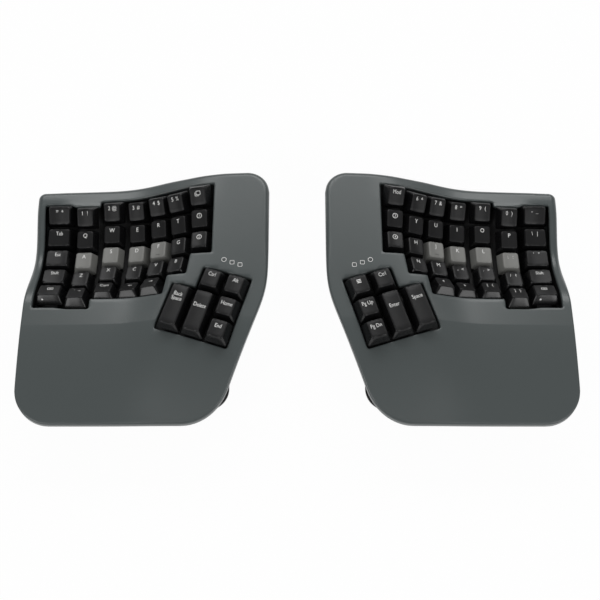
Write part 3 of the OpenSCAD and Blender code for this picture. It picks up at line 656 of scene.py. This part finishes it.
# Upper shells, with rounded edges at the openings.
ROW_F = [-1, -0.992, -0.97, -0.93, -0.87, -0.79, -0.67, -0.54, -0.41, CREASE_Y / HALF_D, -0.16,
         STRIP_Y / HALF_D, 0.1, 0.27, 0.45, 0.62, 0.757, REAR_RIM_Y / HALF_D, 0.9, 0.94, 0.97, 0.992, 1]
COL_F = [0, 0.004, 0.014, 0.027, 0.06, 0.12, 0.2, 0.3, 0.4, 0.5, 0.58, 0.66, 0.74, 0.82, 0.89, 0.94,
         0.973, 0.986, 0.996, 1]


def refined(steps, k):
    out = []
    for a, b in zip(steps, steps[1:]):
        out += [a + (b - a) * i / k for i in range(k)]
    return out + [steps[-1]]


def cap_edge(c, r, side_y):
    return (key_frame(c, r) @ (0, side_y * CAP_W / 2, -CAP_H, 1))[1]


def between(c, r):
    a = (key_frame(c, r) @ (CAP_W / 2, 0, -CAP_H, 1))[0]
    return (a + (key_frame(c + 1, r) @ (-CAP_W / 2, 0, -CAP_H, 1))[0]) / 2


def well_plan():
    def front(cols, m):
        return min(cap_edge(c, COLUMN_KEYS[c] - 1, -1) for c in cols) - m

    def rear(cols, m):
        return max(cap_edge(c, 0, 1) for c in cols) + m

    f, m = FRONT_MARGIN, REAR_MARGIN
    left = OUTER_X + RIM_OUTER - 1
    right = (key_frame(6, 0) @ (CAP_W / 2, 0, -CAP_H, 1))[0] + 1.8
    a, b, c = between(0, 4) - CAP_EXTRA / 2 + 1.5, between(1, 4), between(4, 3)
    d, e, g = between(5, 2), between(1, 0), between(0, 0) - 1
    middle, inner = front((2, 3, 4), f[2]), range(2, 7)
    return [
        (left, rear([0], m[0])), (left, front([0], f[0])), (a - 5, front([0], f[0])),
        (a + 5, front([1], f[1])), (b, front([1], f[1])), (b, middle), (c - 3, middle),
        (c, front([5], f[5])), (d - 2.6, front([5], f[5])),
        (d, front([6], f[6])), (right, front([6], f[6])), (right, rear(inner, m[3])),
        (between(5, 0) - 1, rear(inner, m[3])), (e, rear(inner, m[2])), (e, rear([1], m[1])),
        (g + 3, rear([1], m[1])), (g - 3, rear([0], m[0])),
    ]


def opening(name, plan, flip):
    """A cutter for an opening whose upper edge is rounded."""
    plan = spread(rounded(plan, 1.6), 3)
    rings = []
    for out, up in LIP:
        p = grown(plan, out) if out else plan
        z = top_z(p[:, 0], p[:, 1]) + up
        rings.append([(x * flip, y, h) for (x, y), h in zip(p, z)])
    verts, faces = lofted(rings)
    obj = mesh_object(name, verts, faces, [SHELL])
    outward(obj)
    return obj


def upper_shell(side):
    flip = 1 if side == "left" else -1
    near = [(CREASE_Y + d) / HALF_D for d in (-0.9, -0.3, 0.3, 0.9)]
    rows, cols = sorted(refined(ROW_F, 4) + near), refined(COL_F, 4)
    rf, cf = np.meshgrid(rows, cols, indexing="ij")
    n, m = len(rows), len(cols)
    around = [(0, j) for j in range(m - 1)] + [(i, m - 1) for i in range(n - 1)]
    around += [(n - 1, j) for j in range(m - 1, 0, -1)] + [(i, 0) for i in range(n - 1, 0, -1)]
    pf = np.array([rows[i] for i, j in around]), np.array([cols[j] for i, j in around])
    outer, inner = skin(rf, cf, 0).reshape(-1, 3), skin(rf, cf, WALL).reshape(-1, 3)
    edge = skin(*pf, 0)
    edge[:, 2] -= EDGE_R - edge_radius(edge[:, 1]) + 0.05
    inset = TAPER * (edge[:, 2] - seam_z(pf[0] * HALF_D))
    rings = [[tuple(p) for p in edge]]
    for d in (0, WALL):
        flat = [skin_xy(a, b, d + e) for a, b, e in zip(*pf, inset)]
        rings.append([(p[0], p[1], seam_z(p[1])) for p in flat])
    verts = list(outer) + list(inner) + rings[0] + rings[1] + rings[2]
    faces = []
    for i in range(n - 1):
        for j in range(m - 1):
            a = i * m + j
            faces.append([a, a + 1, a + m + 1, a + m])
            faces.append([n * m + k for k in (a, a + m, a + m + 1, a + 1)])
    count = len(around)
    rim = [i * m + j for i, j in around]
    first = 2 * n * m
    paths = [rim] + [list(range(first + k * count, first + (k + 1) * count)) for k in range(3)]
    paths.append([n * m + k for k in rim])
    for p, q in zip(paths, paths[1:]):
        for k in range(count):
            j = (k + 1) % count
            faces.append([p[k], q[k], q[j], p[j]])
    obj = mesh_object(f"{side}_upper_shell", [(x * flip, y, z) for x, y, z in verts], faces, [SHELL])
    outward(obj)
    cut(obj, opening("well_cutter", well_plan(), flip))
    thumb = [(thumb_frame(0, 0) @ (x, y, DECK_H - THUMB[2], 1))[:2] for x, y in THUMB_PLAN]
    cut(obj, opening("thumb_cutter", thumb, flip))
    slot = rounded([(-5, -2.1), (5, -2.1), (5, 2.1), (-5, 2.1)], 1.6, 6)
    rings = [[(flip * (SOCKET[0] + x), SOCKET[1] + y, SOCKET[2] + z) for x, z in slot] for y in (-8, 8)]
    socket = mesh_object("socket_cutter", *lofted(rings), [SHELL])
    outward(socket)
    cut(obj, socket)
    for x, y in LENS_AT:
        ends = DECK_H - 12, DECK_H + 12
        rings = [[(flip * px, py, z) for px, py in circle(LENS_HOLE_R, 20, x, y)] for z in ends]
        hole = mesh_object("lens_cutter", *lofted(rings), [SHELL])
        outward(hole)
        cut(obj, hole)
    smooth(obj, 33)
    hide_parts(f"{side}_top_case")
    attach(obj, f"{side}_module")


def indicators(side):
    """Three light windows in the deck, each in a plain printed frame."""
    flip = 1 if side == "left" else -1
    lens, marks = Caps(), Caps()
    for k, (x, y) in enumerate(LENS_AT):
        z = float(top_z(x, y))
        m = move(flip * x, y, z) @ turn("Y", -flip * THUMB_TILT)
        steps = (LENS_R, -6), (LENS_R, -0.15), (LENS_R - 0.2, 0.05), (LENS_R - 0.7, 0.15)
        rings = [[(px, py, h) for px, py in circle(r, 24)] for r, h in steps]
        lens.add(m, *lofted(rings), 0)
        edge, hole = block(3.5, 3.5, 0.7), block(2.85, 2.85, 0.5)
        if k == 0:
            edge, hole = circle(1.95), circle(1.6)
        verts, faces = plate(edge, hole)
        marks.add(m, [(a, b, c + 0.04) for a, b, c in verts], faces, 0)
    for name, part, mat, slot in (("lenses", lens, LENS, "lens"), ("light_marks", marks, PRINT, "lens")):
        obj = mesh_object(f"{side}_{name}", part.verts, part.faces, [mat])
        outward(obj)
        smooth(obj, 40)
        if name == "lenses":
            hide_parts(f"{side}_indicator_lenses")
        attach(obj, f"{side}_module")


def dressed(node, name, body, mat, bevel, angle=32):
    """A copy of a node with welded, softened edges, which stands for it."""
    obj = bpy.data.objects.new(name, nodes[node].data.copy())
    scene.collection.objects.link(obj)
    obj.data.name = name
    bm = bmesh.new()
    bm.from_mesh(obj.data)
    bmesh.ops.remove_doubles(bm, verts=bm.verts, dist=1e-6)
    bmesh.ops.dissolve_limit(bm, angle_limit=0.002, verts=bm.verts, edges=bm.edges)
    bm.to_mesh(obj.data)
    bm.free()
    obj.data.materials.clear()
    obj.data.materials.append(mat)
    if bevel:
        b = obj.modifiers.new("bevel", "BEVEL")
        b.width = bevel * MM
        b.segments = 2
        b.limit_method = "ANGLE"
        b.angle_limit = math.radians(50)
        b.harden_normals = False
        apply_modifiers(obj)
    smooth(obj, angle)
    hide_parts(node)
    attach(obj, body)


for side in ("left", "right"):
    upper_shell(side)
    indicators(side)
    dressed(f"{side}_bottom_case", f"{side}_lower_shell", f"{side}_module", BLACK, 0)
    dressed(f"{side}_key_well", f"{side}_well_bowl", f"{side}_module", BLACK, 0)
    dressed(f"{side}_thumb_plate", f"{side}_thumb_tray", f"{side}_module", BLACK, 0)
    dressed(f"{side}_base_plate", f"{side}_base_board", f"{side}_base", BLACK, 0.5)
    dressed(f"{side}_base_feet", f"{side}_feet", f"{side}_base", RUBBER, 0.3)
    dressed(f"{side}_tent_leg", f"{side}_leg_frame", f"{side}_leg", LEG, 0.4)
    kept = ("switches", SWITCH), ("controller_board", BOARD), ("battery", FOIL), ("case_screws", STEEL)
    for node, mat in kept:
        data = nodes[f"{side}_{node}"].data
        data.materials.clear()
        data.materials.append(mat)


# Floor, light and camera.
FLOOR, WHITE_SHARE = 4000, 0.97


def seeing_rays(tree):
    """A socket that is 1 for the rays that show the surface: to the camera, in gloss and through glass."""
    rays = tree.nodes.new("ShaderNodeLightPath")
    last = rays.outputs["Is Camera Ray"]
    for kind in ("Is Glossy Ray", "Is Transmission Ray"):
        either = tree.nodes.new("ShaderNodeMath")
        either.operation = "MAXIMUM"
        tree.links.new(last, either.inputs[0])
        tree.links.new(rays.outputs[kind], either.inputs[1])
        last = either.outputs[0]
    return last


def white_floor():
    m = bpy.data.materials.new("pale_floor")
    m.use_nodes = True
    tree = m.node_tree
    tree.nodes.clear()
    out = tree.nodes.new("ShaderNodeOutputMaterial")
    matt = tree.nodes.new("ShaderNodeBsdfDiffuse")
    matt.inputs["Color"].default_value = (0.88, 0.88, 0.88, 1)
    glow = tree.nodes.new("ShaderNodeEmission")
    glow.inputs["Color"].default_value = (1, 1, 1, 1)
    seen = seeing_rays(tree)
    share = tree.nodes.new("ShaderNodeMath")
    share.operation = "MULTIPLY"
    share.inputs[1].default_value = WHITE_SHARE
    mix = tree.nodes.new("ShaderNodeMixShader")
    tree.links.new(seen, share.inputs[0])
    tree.links.new(share.outputs[0], mix.inputs[0])
    tree.links.new(matt.outputs[0], mix.inputs[1])
    tree.links.new(glow.outputs[0], mix.inputs[2])
    tree.links.new(mix.outputs[0], out.inputs[0])
    corners = [(-FLOOR, -FLOOR, 0), (FLOOR, -FLOOR, 0), (FLOOR, FLOOR, 0), (-FLOOR, FLOOR, 0)]
    obj = mesh_object("floor", corners, [[0, 1, 2, 3]], [m])


def world_light(level):
    world = bpy.data.worlds.new("studio")
    scene.world = world
    world.use_nodes = True
    tree = world.node_tree
    tree.nodes.clear()
    out = tree.nodes.new("ShaderNodeOutputWorld")
    soft, white = tree.nodes.new("ShaderNodeBackground"), tree.nodes.new("ShaderNodeBackground")
    soft.inputs["Strength"].default_value = level
    mix = tree.nodes.new("ShaderNodeMixShader")
    for node in (soft, white):
        node.inputs["Color"].default_value = (1, 1, 1, 1)
    tree.links.new(tree.nodes.new("ShaderNodeLightPath").outputs["Is Camera Ray"], mix.inputs[0])
    tree.links.new(soft.outputs[0], mix.inputs[1])
    tree.links.new(white.outputs[0], mix.inputs[2])
    tree.links.new(mix.outputs[0], out.inputs[0])


def softbox(name, place, aim, size, watts):
    lamp = bpy.data.lights.new(name, "AREA")
    lamp.shape = "RECTANGLE"
    lamp.size, lamp.size_y = size
    lamp.energy = watts
    obj = bpy.data.objects.new(name, lamp)
    obj.location = place
    obj.rotation_euler = (Vector(aim) - Vector(place)).to_track_quat("-Z", "Y").to_euler()
    scene.collection.objects.link(obj)


white_floor()
world_light(0.2)
softbox("rear", (0, 1.28, 1.18), (0, 0.05, 0.04), (2.1, 0.7), 18.5)
for name, x in (("front_left", -0.92), ("front_right", 0.92)):
    softbox(name, (x, -0.95, 1.02), (0, -0.02, 0.04), (0.8, 1.0), 8)

FOCAL_PX, FRAME_PX, SHIFT_PX = 1101, 600, 2.8
SENSOR = 36
camera = bpy.data.cameras.new("camera")
camera.sensor_width = SENSOR
camera.lens = SENSOR * FOCAL_PX / FRAME_PX
camera.shift_x = SHIFT_PX / FRAME_PX
camera.clip_start, camera.clip_end = 0.05, 20
eye = bpy.data.objects.new("camera", camera)
eye.location = (0, -0.3753, 0.8143)
eye.rotation_euler = (Vector((0, -0.001, 0.040)) - eye.location).to_track_quat("-Z", "Y").to_euler()
scene.collection.objects.link(eye)
scene.camera = eye
scene.view_settings.view_transform = "Standard"
